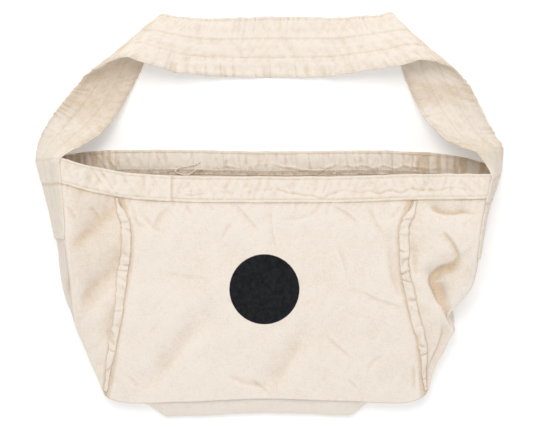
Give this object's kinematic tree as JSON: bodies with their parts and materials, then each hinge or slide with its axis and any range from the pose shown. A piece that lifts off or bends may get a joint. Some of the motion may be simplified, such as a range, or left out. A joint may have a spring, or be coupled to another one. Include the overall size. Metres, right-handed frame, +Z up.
{
  "type": "newspaper delivery bag",
  "caption": "Wide unbleached cotton canvas delivery bag lying on its back, with an open hemmed mouth, deep side gussets, raised front seams and a broad sewn shoulder strap",
  "frame": {"origin": "centre of the laid bag's outline, on the surface that it lies on", "axes": "+X across the bag to the right as laid, +Y from the bottom edge towards the strap, +Z up from the surface, out of the front panel"},
  "size_m": [0.7004, 0.6052, 0.0856],
  "materials": {
    "canvas": "plain woven unbleached cotton canvas, soft and matt, with light creases",
    "canvas_hem": "the same canvas folded double and stitched, puckered along its stitch rows",
    "canvas_strap": "the same canvas in a doubled strap, edge-stitched and creased lengthwise"
  },
  "bodies": {
    "root": {"back_panel": "canvas", "front_panel": "canvas", "left_gusset": "canvas", "right_gusset": "canvas", "bottom_panel": "canvas", "mouth_hem": "canvas_hem", "front_left_seam": "canvas_hem", "front_right_seam": "canvas_hem", "shoulder_strap": "canvas_strap"}
  },
  "joints": []
}
